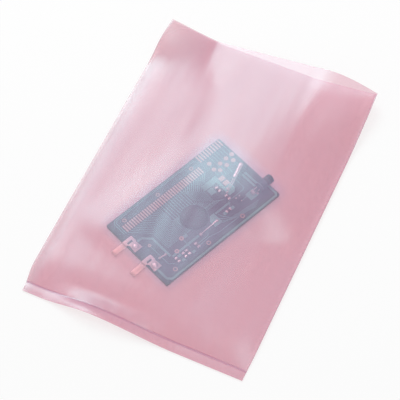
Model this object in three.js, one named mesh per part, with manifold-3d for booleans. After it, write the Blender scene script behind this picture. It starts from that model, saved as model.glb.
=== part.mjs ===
// Anti-static bag: a pink film pouch lying flat, its mouth open, with a small circuit board inside.
// Millimetres, +Z up. X runs across the bag, +Y from the heat seal to the open mouth.
// The origin is the middle of the bag's footprint, on the surface that it lies on.

import * as THREE from 'three';
import { mergeVertices } from 'three/addons/utils/BufferGeometryUtils.js';
import Module from 'manifold-3d';

const wasm = await Module();
wasm.setup();

// Bag: driving dimensions
const bagWidth = 101.9;
const bagLength = 150;
const filmWall = 0.1;
const sealInset = 4.4;
const sealGap = 0.06;
const foldRadius = 3;
const layerGap = 0.25;

// How far each side fold is drawn in where the bag is not puffed out
const leftTuck = { mouth: 1.1, seal: 1.6, reach: 14 };
const rightTuck = { mouth: 0.3, seal: 0.3, reach: 14 };

// The mouth's corners curl up off the table, and the sealed end has one wave
const curlReach = 38;
const leftCurl = { height: 5.2, spread: 25, softness: 1.15 };
const rightCurl = { height: 5.0, spread: 31, softness: 1.15 };
const sealWave = { height: 4.1, x: -17.8, leftSpread: 24, rightSpread: 39, reach: 22 };

// Air in the bag: a soft puff all over, a ridge from the capacitor to the mouth, a tent over the board
const puff = { height: 1.7, spread: 11, sealSpread: 16, mouthReach: 34 };
const ridgeMouth = { height: 8.5, fromFold: 25, left: 52 };
const ridgeEnd = { clearance: 0.6, left: 32 };
const ridgeRise = { length: 58 };
const ridgeFade = { start: 8, length: 34 };
const tent = { clearance: 0.75, margin: 2.5, spread: 13 };
const blendWidth = 0.5;

// Mesh of the film: points across the bag and stations along it
const spansAcross = 14;
const spansAlong = 21;
const foldSteps = [0.1, 0.34];

// Board: driving dimensions, and where it lies in the bag
const boardLength = 65.5;
const boardWidth = 38.8;
const boardThickness = 1.2;
const boardCorner = 0.8;
const boardPlace = { x: -0.13, y: -10.86, turn: 66.86 };
const copperRise = 0.1;
const copperSink = 0.1;
const seatGap = 0.2;
const viaDiameter = 0.7;

// Two rows of bare copper fingers: for the display, and along the edge next to the far end
const displayFingers = { count: 36, pitch: 1.24, fromNear: 5.15, fromSide: 6.7, length: 3.6, width: 0.66 };
const edgeFingers = { count: 10, pitch: 1.42, fromFar: 1.25, fromSide: 2.1, length: 3.7, width: 0.66 };

// Round test dots, square pads and ring pads: their centres, counted from the board's near or far end
const dotDiameter = 2.1;
const testDots = [
  { fromFar: 12.05, y: 12.6 }, { fromFar: 12.55, y: 9.1 }, { fromFar: 8.45, y: 9.5 }, { fromFar: 4.75, y: 9.7 },
  { fromFar: 1.45, y: 9.6 }, { fromFar: 10.75, y: 7.0 }, { fromFar: 6.85, y: 7.0 }, { fromFar: 3.05, y: 6.9 },
];
const padSize = { x: 2.7, y: 2.1 };
const squarePads = [{ fromFar: 13.05, y: 3.4 }, { fromFar: 13.15, y: 0.6 }];
const ringDiameter = 2.1;
const ringPads = [{ fromNear: 13.95, y: -10.15 }, { fromNear: 19.55, y: -6.9 }];
const smallRingDiameter = 1.6;
const smallRings = [{ fromNear: 7.25, y: -0.3 }];

// Epoxy over the bonded chip
const blob = { x: -2.3, y: -2.8, diameter: 12.4, height: 1.45 };

// Crystal: a can lying on the board, with two leads
const crystal = { fromFar: 9.45, y: -0.5, turn: 23.8, diameter: 2.2, length: 8.1 };
const leadDiameter = 0.4;
const leadRide = 0.05;
const crystalLeadPitch = 0.8;
const crystalLeadBend = 1.2;
const crystalLeadEnds = [{ fromFar: 14.85, y: -2.0 }, { fromFar: 16.15, y: -3.3 }];

// Capacitor: a sleeved can lying across the board's far edge
const capacitor = { overhang: 2.15, y: -11.6, diameter: 4.2, length: 7.6, chamfer: 0.8 };
const capacitorGroove = { fromBase: 1.2, depth: 0.3 };
const capacitorLeadPitch = 1.6;
const capacitorLeads = [
  { reach: 2.5, solder: { diameter: 2.6, height: 1.5 } },
  { reach: 1.3, solder: { diameter: 1.4, height: 0.55 } },
];

// Battery clips: sheet metal feet on the board, and a tongue past its end
const clipSheet = 0.3;
const clipFoot = { inset: 0.35, length: 4.3, width: 7.3, waist: 0.6 };
const clipSlot = { inset: 0.5, length: 2.6, width: 1.0, fromTop: 2.1 };
const clipTongue = { width: 2.6, drop: 0.7, curl: 0.5, tip: 1.2, root: 0.4 };
const clips = [
  { topY: 8.5, reach: 7.0, turn: 0 },
  { topY: -3.8, reach: 7.7, turn: 4.5 },
];
const clipSolder = { diameter: 3.2, height: 0.5, fromBottom: 2.1 };

// Wire links with a bead of solder at each end
const wireDiameter = 0.5;
const longLink = { ends: [{ fromNear: 26.85, y: -11.0 }, { fromNear: 36.55, y: -10.7 }], bead: 1.6 };
const shortLink = { ends: [{ fromNear: 6.4, y: -7.8 }, { fromNear: 9.4, y: -8.15 }], bead: 1.3 };
const beadHeight = 0.55;
const leadBead = 1.3;

// Surface-mounted chips: body between two metal ends
const chipBody = { length: 2.0, width: 1.25, height: 0.55 };
const chipEnd = { length: 0.75, width: 1.35, height: 0.62 };
const chipParts = [
  { fromFar: 18.1, y: 0.3, turn: 90 },
  { fromFar: 17.7, y: -5.3, turn: 90 },
  { fromFar: 21.95, y: -10.35, turn: 0 },
  { fromNear: 11.35, y: -13.6, turn: 90 },
  { fromNear: 15.1, y: -13.8, turn: 90 },
  { fromNear: 17.05, y: -13.8, turn: 90 },
  { fromNear: 22.2, y: -13.9, turn: 90 },
];

// Small transistor: a moulded body with two pins on one side and one on the other
const transistor = { fromFar: 14.4, y: -9.3, length: 2.9, width: 1.3, height: 0.95, standoff: 0.1 };
const pin = { width: 0.45, reach: 0.65, thickness: 0.2, pitch: 1.9 };

const halfWidth = bagWidth / 2;
const mouthY = bagLength / 2;
const bottomY = -bagLength / 2;
const sealY = bottomY + sealInset;
const deckZ = boardThickness;
const farEnd = boardLength / 2;
const tentHeight = boardThickness + blob.height + tent.clearance;
const ridgeEndHeight = boardThickness + capacitor.diameter + ridgeEnd.clearance;

// Small helpers

function clamp01(t) {
  return THREE.MathUtils.clamp(t, 0, 1);
}

function ease(t) {
  return THREE.MathUtils.smoothstep(t, 0, 1);
}

function bell(t) {
  return Math.abs(t) < 1 ? (1 + Math.cos(Math.PI * t)) / 2 : 0;
}

function blendMax(a, b) {
  return (a + b + Math.hypot(a - b, blendWidth)) / 2;
}

function radians(degrees) {
  return THREE.MathUtils.degToRad(degrees);
}

function toSolid(geometry) {
  const bare = geometry.index ? geometry.toNonIndexed() : geometry.clone();
  bare.deleteAttribute('normal');
  bare.deleteAttribute('uv');
  const merged = mergeVertices(bare, 1e-5);
  return new wasm.Manifold(new wasm.Mesh({
    numProp: 3,
    vertProperties: new Float32Array(merged.attributes.position.array),
    triVerts: new Uint32Array(merged.index.array),
  }));
}

function toGeometry(solid) {
  const mesh = solid.getMesh();
  const geometry = new THREE.BufferGeometry();
  geometry.setAttribute('position', new THREE.BufferAttribute(mesh.vertProperties, 3));
  geometry.setIndex(new THREE.BufferAttribute(mesh.triVerts, 1));
  geometry.computeVertexNormals();
  return geometry;
}

function join(geometries) {
  const solids = geometries.map(toSolid);
  return toGeometry(solids.reduce((whole, next) => whole.add(next)));
}

function box(length, width, height, x, y, z) {
  return new THREE.BoxGeometry(length, width, height).translate(x, y, z + height / 2);
}

function extrude(shape, height, z) {
  const settings = { depth: height, bevelEnabled: false, curveSegments: 6 };
  return new THREE.ExtrudeGeometry(shape, settings).translate(0, 0, z);
}

function polygon(points) {
  return new THREE.Shape(points.map(([x, y]) => new THREE.Vector2(x, y)));
}

// Where a spot on the board lies along it, counted from the end that it belongs to
function along(spot) {
  return spot.fromFar === undefined ? spot.fromNear - farEnd : farEnd - spot.fromFar;
}

// A point of the board, in the bag's frame
function onBag(x, y) {
  const turn = radians(boardPlace.turn);
  return {
    x: boardPlace.x + x * Math.cos(turn) - y * Math.sin(turn),
    y: boardPlace.y + x * Math.sin(turn) + y * Math.cos(turn),
  };
}

// A low dome of revolution that stands on z, such as a drop of solder or epoxy
function dome(diameter, height, x, y, z, rings, sides) {
  const profile = [];
  for (let i = 0; i <= rings; i += 1) {
    const angle = (i / rings) * Math.PI / 2;
    profile.push(new THREE.Vector2(Math.cos(angle) * diameter / 2, Math.sin(angle) * height));
  }
  profile[rings].x = 0;
  profile.unshift(new THREE.Vector2(0, 0));
  return new THREE.LatheGeometry(profile, sides).rotateX(Math.PI / 2).translate(x, y, z);
}

// A round wire through a list of points
function wire(points, diameter) {
  const section = new THREE.Shape().absarc(0, 0, diameter / 2, 0, Math.PI * 2);
  const route = points.map(([x, y, z]) => new THREE.Vector3(x, y, z));
  const path = new THREE.CatmullRomCurve3(route, false, 'centripetal');
  const settings = { extrudePath: path, steps: 3 * (points.length - 1), curveSegments: 4 };
  return new THREE.ExtrudeGeometry(section, settings);
}

function part(name, geometry, colour, roughness, metalness) {
  const material = new THREE.MeshStandardMaterial({ color: colour, roughness, metalness });
  const mesh = new THREE.Mesh(geometry, material);
  mesh.name = name;
  return mesh;
}

// Bag film: where the side folds run

function tuckAt(tuck, y) {
  const nearMouth = ease((y - (mouthY - tuck.reach)) / tuck.reach);
  const nearSeal = ease((bottomY + tuck.reach - y) / tuck.reach);
  return tuck.mouth * nearMouth + tuck.seal * nearSeal;
}

function leftFold(y) {
  return -halfWidth + tuckAt(leftTuck, y);
}

function rightFold(y) {
  return halfWidth - tuckAt(rightTuck, y);
}

// Height of the whole bag above the table: zero over the flat middle
function lift(x, y) {
  const curl = ease((y - (mouthY - curlReach)) / curlReach);
  const left = clamp01(1 - (x + halfWidth) / leftCurl.spread) ** leftCurl.softness;
  const right = clamp01(1 - (halfWidth - x) / rightCurl.spread) ** rightCurl.softness;
  const spread = x < sealWave.x ? sealWave.leftSpread : sealWave.rightSpread;
  const wave = bell((x - sealWave.x) / spread) * ease((bottomY + sealWave.reach - y) / sealWave.reach);
  return curl * (leftCurl.height * left + rightCurl.height * right) + sealWave.height * wave;
}

// Air between the layers, from three soft forms

const capacitorTop = onBag(farEnd + capacitor.overhang - capacitor.length / 2, capacitor.y);

function puffGap(x, y) {
  const fromFold = Math.min(x - leftFold(y), rightFold(y) - x);
  const across = 1 - (1 - clamp01(fromFold / puff.spread)) ** 2;
  const openEnd = 1 - ease((y - (mouthY - puff.mouthReach)) / puff.mouthReach);
  return puff.height * across * openEnd;
}

function ridgeGap(x, y) {
  const rise = ease((y - capacitorTop.y) / ridgeRise.length);
  const height = THREE.MathUtils.lerp(ridgeEndHeight, ridgeMouth.height, rise);
  const crest = THREE.MathUtils.lerp(capacitorTop.x, halfWidth - ridgeMouth.fromFold, rise);
  const left = THREE.MathUtils.lerp(ridgeEnd.left, ridgeMouth.left, rise);
  const right = halfWidth - crest;
  const t = clamp01(x < crest ? (crest - x) / left : (x - crest) / right);
  const round = Math.cos(t * Math.PI / 2);
  const straight = x < crest ? rise * (1 - t) + (1 - rise) * round : round;
  const behind = Math.max(0, capacitorTop.y - ridgeFade.start - y);
  return height * straight * bell(behind / ridgeFade.length);
}

function tentGap(x, y) {
  const turn = radians(boardPlace.turn);
  const dx = x - boardPlace.x;
  const dy = y - boardPlace.y;
  const pastEnd = Math.abs(dx * Math.cos(turn) + dy * Math.sin(turn)) - farEnd - tent.margin;
  const pastSide = Math.abs(dy * Math.cos(turn) - dx * Math.sin(turn)) - boardWidth / 2 - tent.margin;
  const outside = Math.hypot(Math.max(pastEnd, 0), Math.max(pastSide, 0));
  return tentHeight * bell(outside / tent.spread);
}

function airGap(x, y) {
  const air = blendMax(blendMax(puffGap(x, y), ridgeGap(x, y)), tentGap(x, y));
  const fromSeal = clamp01((y - sealY) / puff.sealSpread);
  return sealGap + (layerGap + air) * (1 - (1 - fromSeal) ** 2);
}

// One ring of points around the flattened tube at station y, on its outer or its inner side
function filmRing(y, inset, gap) {
  const left = leftFold(y);
  const right = rightFold(y);
  const columns = [];
  for (const step of foldSteps) {
    columns.push(left + foldRadius * step);
  }
  for (let i = 0; i <= spansAcross; i += 1) {
    columns.push(left + foldRadius + (right - left - 2 * foldRadius) * i / spansAcross);
  }
  for (const step of foldSteps.toReversed()) {
    columns.push(right - foldRadius * step);
  }
  const layer = (x, upper) => {
    const fromFold = Math.min(x - left, right - x);
    const thickness = gap(x, y) + 2 * filmWall;
    const middle = gap(Math.min(Math.max(x, left + foldRadius), right - foldRadius), y) / 2 + filmWall;
    const t = clamp01((fromFold - inset) / (foldRadius - inset));
    const round = Math.sqrt(1 - (1 - t) ** 2);
    const outer = upper ? thickness - inset - middle : inset - middle;
    return new THREE.Vector3(x, y, lift(x, y) + middle + outer * round);
  };
  const ring = [layer(left + inset, true)];
  columns.forEach((x) => ring.push(layer(x, true)));
  ring.push(layer(right - inset, true));
  columns.toReversed().forEach((x) => ring.push(layer(x, false)));
  return ring;
}

function bagFilm() {
  const stations = [];
  for (let i = 0; i <= spansAlong; i += 1) {
    stations.push(sealY + (mouthY - sealY) * i / spansAlong);
  }
  const outer = [filmRing(bottomY, 0, () => sealGap)];
  const inner = [];
  for (const y of stations) {
    outer.push(filmRing(y, 0, airGap));
    inner.push(filmRing(y, filmWall, airGap));
  }
  const positions = [];
  const index = [];
  const number = new Map();
  for (const point of [...outer.flat(), ...inner.flat()]) {
    number.set(point, positions.length / 3);
    positions.push(point.x, point.y, point.z);
  }
  const face = (...corners) => index.push(...corners.map((corner) => number.get(corner)));
  const size = outer[0].length;
  const wall = (rings, flip) => {
    for (let j = 1; j < rings.length; j += 1) {
      for (let i = 0; i < size; i += 1) {
        const [a, b] = [rings[j - 1][i], rings[j - 1][(i + 1) % size]];
        const [c, d] = [rings[j][(i + 1) % size], rings[j][i]];
        // Both walls are split along the same diagonal, so that the film keeps its thickness
        if (flip) {
          face(c, b, a);
          face(d, c, a);
        } else {
          face(a, b, c);
          face(a, c, d);
        }
      }
    }
  };
  wall(outer, false);
  wall(inner, true);
  // The open mouth's rim
  const rimOut = outer.at(-1);
  const rimIn = inner.at(-1);
  for (let i = 0; i < size; i += 1) {
    const next = (i + 1) % size;
    face(rimOut[i], rimOut[next], rimIn[next]);
    face(rimOut[i], rimIn[next], rimIn[i]);
  }
  // The two ends that close: the pouch at the seal, and the skirt's cut edge
  const close = (ring, flip) => {
    const last = size / 2;
    for (let i = 0; i < last; i += 1) {
      const quad = [ring[i], ring[i + 1], ring[(size - i - 1) % size], ring[(size - i) % size]];
      const [a, b, c, d] = flip ? quad.reverse() : quad;
      if (new Set([a, b, c]).size === 3) {
        face(a, b, c);
      }
      if (new Set([a, c, d]).size === 3) {
        face(a, c, d);
      }
    }
  };
  close(inner[0], false);
  close(outer[0], true);
  const geometry = new THREE.BufferGeometry();
  geometry.setAttribute('position', new THREE.Float32BufferAttribute(positions, 3));
  geometry.setIndex(index);
  geometry.computeVertexNormals();
  return part('bag_film', geometry, 0xdfa6b6, 0.35, 0);
}

// Circuit board with its bare copper

function fingerRow(row) {
  const step = row.fromFar === undefined ? row.pitch : -row.pitch;
  const fingers = [];
  for (let i = 0; i < row.count; i += 1) {
    fingers.push(copperBox(row.width, row.length, along(row) + i * step, boardWidth / 2 - row.fromSide));
  }
  return fingers;
}

function copperBox(length, width, x, y) {
  return box(length, width, copperSink + copperRise, x, y, deckZ - copperSink);
}

function copperDisc(diameter, spot) {
  const disc = new THREE.CylinderGeometry(diameter / 2, diameter / 2, copperSink + copperRise, 14);
  return disc.rotateX(Math.PI / 2).translate(along(spot), spot.y, deckZ + (copperRise - copperSink) / 2);
}

function circuitBoard() {
  const x = boardLength / 2;
  const y = boardWidth / 2;
  const r = boardCorner;
  const outline = new THREE.Shape();
  outline.absarc(x - r, y - r, r, 0, Math.PI / 2);
  outline.absarc(r - x, y - r, r, Math.PI / 2, Math.PI);
  outline.absarc(r - x, r - y, r, Math.PI, Math.PI * 1.5);
  outline.absarc(x - r, r - y, r, Math.PI * 1.5, Math.PI * 2);
  let board = toSolid(extrude(outline, boardThickness, 0));
  const copper = [
    ...fingerRow(displayFingers),
    ...fingerRow(edgeFingers),
    ...testDots.map((spot) => copperDisc(dotDiameter, spot)),
    ...ringPads.map((spot) => copperDisc(ringDiameter, spot)),
    ...smallRings.map((spot) => copperDisc(smallRingDiameter, spot)),
    ...squarePads.map((spot) => copperBox(padSize.x, padSize.y, along(spot), spot.y)),
  ];
  for (const piece of copper) {
    board = board.add(toSolid(piece));
  }
  for (const spot of [...ringPads, ...smallRings]) {
    const hole = new THREE.CylinderGeometry(viaDiameter / 2, viaDiameter / 2, boardThickness * 2, 8);
    board = board.subtract(toSolid(hole.rotateX(Math.PI / 2).translate(along(spot), spot.y, boardThickness)));
  }
  return part('circuit_board', toGeometry(board), 0x3f6b5e, 0.5, 0);
}

function chipBlob() {
  const geometry = dome(blob.diameter, blob.height, blob.x, blob.y, deckZ, 5, 28);
  return part('chip_blob', geometry, 0x2b2233, 0.45, 0);
}

// Crystal: the can lies on the deck along its own turn, its leads run down to the deck

function crystalParts() {
  const turn = radians(crystal.turn);
  const ahead = new THREE.Vector2(Math.cos(turn), Math.sin(turn));
  const side = new THREE.Vector2(-ahead.y, ahead.x);
  const axisZ = deckZ + crystal.diameter / 2;
  const can = new THREE.CylinderGeometry(crystal.diameter / 2, crystal.diameter / 2, crystal.length, 16);
  can.rotateZ(-Math.PI / 2).translate(crystal.length / 2, 0, 0);
  can.rotateZ(turn).translate(along(crystal), crystal.y, axisZ);
  const pieces = [part('crystal_can', can, 0xd9d4cc, 0.3, 0.9)];
  crystalLeadEnds.forEach((end, i) => {
    const offset = crystalLeadPitch * (0.5 - i);
    const root = new THREE.Vector2(along(crystal), crystal.y).addScaledVector(side, offset);
    const start = root.clone().addScaledVector(ahead, -seatGap);
    const bend = root.clone().addScaledVector(ahead, -crystalLeadBend);
    const endX = along(end);
    const lowZ = deckZ + leadDiameter / 2 + leadRide;
    const points = [
      [start.x, start.y, axisZ],
      [bend.x, bend.y, (axisZ + lowZ) / 2],
      [(bend.x + endX) / 2, (bend.y + end.y) / 2, lowZ],
      [endX, end.y, lowZ],
    ];
    const lead = join([wire(points, leadDiameter), dome(leadBead, beadHeight, endX, end.y, deckZ, 3, 10)]);
    pieces.push(part(`crystal_lead_${i + 1}`, lead, 0xc9c4bd, 0.35, 0.9));
  });
  return pieces;
}

// Capacitor: a sleeved can on its side, a groove near its lead end, its far end over the board's edge

function capacitorParts() {
  const r = capacitor.diameter / 2;
  const { length, chamfer } = capacitor;
  const { fromBase, depth } = capacitorGroove;
  const profile = [
    [0, 0], [r - depth, 0], [r, depth], [r, fromBase - depth], [r - depth, fromBase],
    [r, fromBase + depth], [r, length - chamfer], [r - chamfer, length], [0, length],
  ];
  const baseX = farEnd + capacitor.overhang - length;
  const axisZ = deckZ + r;
  const can = new THREE.LatheGeometry(profile.map(([x, y]) => new THREE.Vector2(x, y)), 20);
  can.rotateZ(-Math.PI / 2).translate(baseX, capacitor.y, axisZ);
  const pieces = [part('capacitor_body', can, 0x27525c, 0.4, 0)];
  capacitorLeads.forEach(({ reach, solder }, i) => {
    const y = capacitor.y + capacitorLeadPitch * (0.5 - i);
    const endX = baseX - reach;
    const topZ = axisZ - leadDiameter;
    const footZ = deckZ + leadDiameter;
    const points = [
      [baseX - seatGap, y, axisZ],
      [endX + leadDiameter, y, topZ],
      [endX, y, (topZ + footZ) / 2],
      [endX, y, footZ],
    ];
    const drop = dome(solder.diameter, solder.height, endX, y, deckZ, 4, 12);
    const lead = join([wire(points, leadDiameter), drop]);
    pieces.push(part(`capacitor_lead_${i + 1}`, lead, 0xc9c4bd, 0.35, 0.9));
  });
  return pieces;
}

// Battery clips: a waisted foot with a slot, and a tongue that drops past the board's end

function batteryClip(clip, i) {
  const left = clipFoot.inset - farEnd;
  const right = left + clipFoot.length;
  const top = clip.topY;
  const foot = top - clipFoot.width;
  const slotTop = top - clipSlot.fromTop + clipSlot.width / 2;
  const slotFoot = slotTop - clipSlot.width;
  const waist = clipFoot.waist;
  const shoulder = slotFoot - waist / 2;
  const plate = polygon([
    [left, top], [left, shoulder], [left + waist, shoulder - waist], [left, foot], [right, foot],
    [right - waist / 2, shoulder - waist], [right, shoulder], [right, top],
  ]);
  const slotLeft = left + clipSlot.inset;
  const slotRight = slotLeft + clipSlot.length;
  plate.holes.push(polygon([
    [slotLeft, slotFoot], [slotLeft, slotTop], [slotRight, slotTop], [slotRight, slotFoot],
  ]));
  // The tongue's side view, drawn outward from the plate's edge
  const edge = clipFoot.inset + seatGap;
  const { drop, tip, curl, root, width } = clipTongue;
  const t = clipSheet;
  const bend = clip.reach - tip;
  const side = polygon([
    [-root, 0], [edge, 0], [edge, -drop], [bend, curl / 2 - drop], [clip.reach, -drop],
    [clip.reach, t - drop], [bend, curl / 2 - drop + t], [edge + t, t - drop], [edge + t, t], [-root, t],
  ]);
  const tongue = extrude(side, width, -width / 2).rotateX(Math.PI / 2);
  tongue.rotateZ(Math.PI + radians(clip.turn)).translate(left, top - width / 2, deckZ);
  return part(`battery_clip_${i + 1}`, join([extrude(plate, clipSheet, deckZ), tongue]), 0xd8cdb8, 0.3, 0.9);
}

function clipSolderDrop(clip, i) {
  const x = clipFoot.inset - farEnd + clipFoot.length / 2;
  const y = clip.topY - clipFoot.width + clipSolder.fromBottom;
  const drop = dome(clipSolder.diameter, clipSolder.height, x, y, deckZ + clipSheet, 3, 16);
  return part(`clip_solder_${i + 1}`, drop, 0xcfc9c2, 0.35, 0.9);
}

function wireLink(name, link) {
  const z = deckZ + wireDiameter / 2;
  const straight = link.ends.map((end) => [along(end), end.y, z]);
  const beads = link.ends.map((end) => dome(link.bead, beadHeight, along(end), end.y, deckZ, 3, 12));
  return part(name, join([wire(straight, wireDiameter), ...beads]), 0xcfc9c2, 0.3, 0.9);
}

function chipPart(chip, i) {
  const reach = (chipBody.length + chipEnd.length) / 2;
  const pieces = [
    box(chipBody.length, chipBody.width, chipBody.height, 0, 0, 0),
    box(chipEnd.length, chipEnd.width, chipEnd.height, -reach + chipEnd.length / 2, 0, 0),
    box(chipEnd.length, chipEnd.width, chipEnd.height, reach - chipEnd.length / 2, 0, 0),
  ];
  const geometry = join(pieces).rotateZ(radians(chip.turn)).translate(along(chip), chip.y, deckZ);
  return part(`chip_part_${i + 1}`, geometry, 0x6b4a4a, 0.5, 0);
}

// Transistor: the body stands just off the deck, its pins lie on it beside the body

function transistorParts() {
  const { y, length, width, height, standoff } = transistor;
  const x = along(transistor);
  const body = box(length, width, height - standoff, x, y, deckZ + standoff);
  const pieces = [part('transistor_body', body, 0x2a2630, 0.5, 0)];
  const spots = [{ dx: -pin.pitch / 2, side: 1 }, { dx: pin.pitch / 2, side: 1 }, { dx: 0, side: -1 }];
  spots.forEach((spot, i) => {
    const pinY = y + spot.side * (width / 2 + seatGap + pin.reach / 2);
    const geometry = box(pin.width, pin.reach, pin.thickness, x + spot.dx, pinY, deckZ);
    pieces.push(part(`transistor_pin_${i + 1}`, geometry, 0xd5cfc8, 0.3, 0.9));
  });
  return pieces;
}

function board() {
  const group = new THREE.Group();
  group.position.set(boardPlace.x, boardPlace.y, filmWall);
  group.rotation.z = radians(boardPlace.turn);
  group.add(circuitBoard(), chipBlob(), ...crystalParts(), ...capacitorParts());
  group.add(...clips.map(batteryClip), ...clips.map(clipSolderDrop));
  group.add(wireLink('jumper_wire_long', longLink), wireLink('jumper_wire_short', shortLink));
  group.add(...chipParts.map(chipPart), ...transistorParts());
  return group;
}

const group = new THREE.Group();
group.add(bagFilm(), board());

export default group;
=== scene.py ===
"""A pink anti-static film bag with a small circuit board inside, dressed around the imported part.

Figures in capital letters are millimetres, as in the part's source. What Blender is given is in metres.
"""

import math

import bmesh
import bpy
from bpy.props import FloatProperty, FloatVectorProperty, IntProperty, PointerProperty
from bpy.types import Operator, Panel, PropertyGroup
from mathutils import Matrix, Vector, noise


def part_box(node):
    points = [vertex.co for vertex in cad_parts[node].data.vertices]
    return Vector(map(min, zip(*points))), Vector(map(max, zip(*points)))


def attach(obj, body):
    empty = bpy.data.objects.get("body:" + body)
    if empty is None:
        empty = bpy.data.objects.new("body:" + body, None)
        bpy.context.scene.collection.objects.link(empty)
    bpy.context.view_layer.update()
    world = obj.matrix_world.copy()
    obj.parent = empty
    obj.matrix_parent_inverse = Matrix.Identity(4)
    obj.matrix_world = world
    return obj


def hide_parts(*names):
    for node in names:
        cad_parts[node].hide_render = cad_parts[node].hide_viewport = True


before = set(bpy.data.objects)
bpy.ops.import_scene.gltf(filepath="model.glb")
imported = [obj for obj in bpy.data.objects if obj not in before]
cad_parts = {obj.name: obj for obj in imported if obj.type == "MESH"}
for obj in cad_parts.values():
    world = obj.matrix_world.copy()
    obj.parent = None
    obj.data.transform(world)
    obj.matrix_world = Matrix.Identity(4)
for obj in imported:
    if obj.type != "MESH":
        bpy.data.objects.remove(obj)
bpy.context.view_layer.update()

bl_info = {
    "name": "Anti-static bag",
    "version": (1, 0, 0),
    "blender": (4, 5, 0),
    "location": "3D View > Sidebar > Bag",
    "description": "Makes a pink film bag with a circuit board in it",
    "category": "Object",
}

MM = 0.001

# The bag's form, in millimetres
HALF_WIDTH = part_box("bag_film")[1][0] / MM
MOUTH_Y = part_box("bag_film")[1][1] / MM
BOTTOM_Y = -MOUTH_Y
FILM_WALL = 0.1
SEAL_INSET = 4.4
SEAL_Y = BOTTOM_Y + SEAL_INSET
SEAL_GAP = 0.06
SEAL_HALF = 0.35
FOLD_RADIUS = 3.0
LAYER_GAP = 0.25
SKIRT_GAP = 0.22
LEFT_TUCK = {"mouth": 1.1, "seal": 1.6, "reach": 14.0}
RIGHT_TUCK = {"mouth": 0.3, "seal": 0.3, "reach": 14.0}
LEFT_CURL = {"height": 5.2, "spread": 25.0, "softness": 1.15, "reach": 26.0}
RIGHT_CURL = {"height": 5.0, "spread": 31.0, "softness": 1.15, "reach": 38.0}
SEAL_WAVE = {"height": 4.1, "x": -17.8, "left": 24.0, "right": 39.0, "reach": 12.0}
PUFF = {"height": 1.2, "spread": 9.0, "crown": 1.3, "seal": 16.0, "mouth": 34.0}
RIDGE = {"mouth": 8.5, "from_fold": 25.0, "end": 6.0, "left_mouth": 54.0, "left_end": 47.0, "rise": 58.0}
# The ridge's left flank, from the crest at 0 to its foot at 1, as shares of its height
RIDGE_FLANK = (
    (0.0, 1.0), (0.09, 0.965), (0.19, 0.87), (0.31, 0.735), (0.45, 0.585), (0.6, 0.425), (0.74, 0.28), (0.88, 0.125),
    (1.0, 0.0),
)
RIDGE_FADE = {"start": 8.0, "length": 34.0}
TENT = {"height": 3.15, "spread": 24.0}
BLEND_WIDTH = 0.5
FOLD_STEPS = (0.012, 0.045, 0.1, 0.18, 0.28, 0.4, 0.55, 0.76)

# Where the board lies, in millimetres and degrees
BOARD_AT = (-0.13, -10.86, 0.1)
BOARD_TURN = 66.86
BOARD_SIZE = (65.5, 38.8, 1.2)
DECK_Z = BOARD_AT[2] + BOARD_SIZE[2]
RUN_HEIGHT = 0.05

# Places on the board, in its own millimetres from its middle; a third figure is the height above the deck
FINGERS = {"first": -27.6, "pitch": 1.24, "count": 36, "low": 10.9, "high": 14.6}
BLOB = {"x": -2.3, "y": -2.8, "radius": 6.2, "height": 1.45}
CRYSTAL_START, CRYSTAL_TURN = (23.3, -0.5, 1.1), 23.8
CAPACITOR_START = (27.3, -11.6, 2.1)

# How the film clouds, with painted sheen and painted shade over the board and a painted highlight by the left fold and
# corner: places in millimetres, colours as RGBA
SHEEN_AND_SHADE_END = (30.0, 36.5)
SHEEN_AND_SHADE_SIDE = (17.0, 23.5)
PAINTED_HIGHLIGHT_WIDTH = 6.0
PAINTED_CORNER_HIGHLIGHT = {"width": 24.0, "length": 34.0, "weight": 1.3}
SEAL_TINT = (0.88, 0.55, 0.66, 1)
SEAL_HAZE = (0.60, 0.25, 0.36, 1)
PAINTED_HIGHLIGHT_HAZE = (0.92, 0.76, 0.86, 1)
GLOSS_TINT = (0.49, 0.98, 0.97, 1)
FILM_INDEX = 2.8

# The stage: metres and degrees
SIDE_LAMP = {"size": (0.6, 0.8), "direction": (-0.48, 0.53, 0.70), "distance": 1.45}
TOP_LAMP = {"size": (0.45, 0.45), "place": (0.22, 0.14, 1.45)}
GROUND = {"size": 8, "z": -0.25 * MM, "white_share": 0.7}
CAMERA = {"elevation": 59.2355, "turn": 24.377, "distance": 0.7, "lens": 146.27, "sensor": 36, "aim_y": -4.49 * MM}


def board_matrix():
    """Board millimetres to the object's metres"""
    place = Matrix.Translation(Vector(BOARD_AT) * MM)
    return place @ Matrix.Rotation(math.radians(BOARD_TURN), 4, "Z") @ Matrix.Scale(MM, 4)


ON_BOARD = board_matrix()


# Settings


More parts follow.
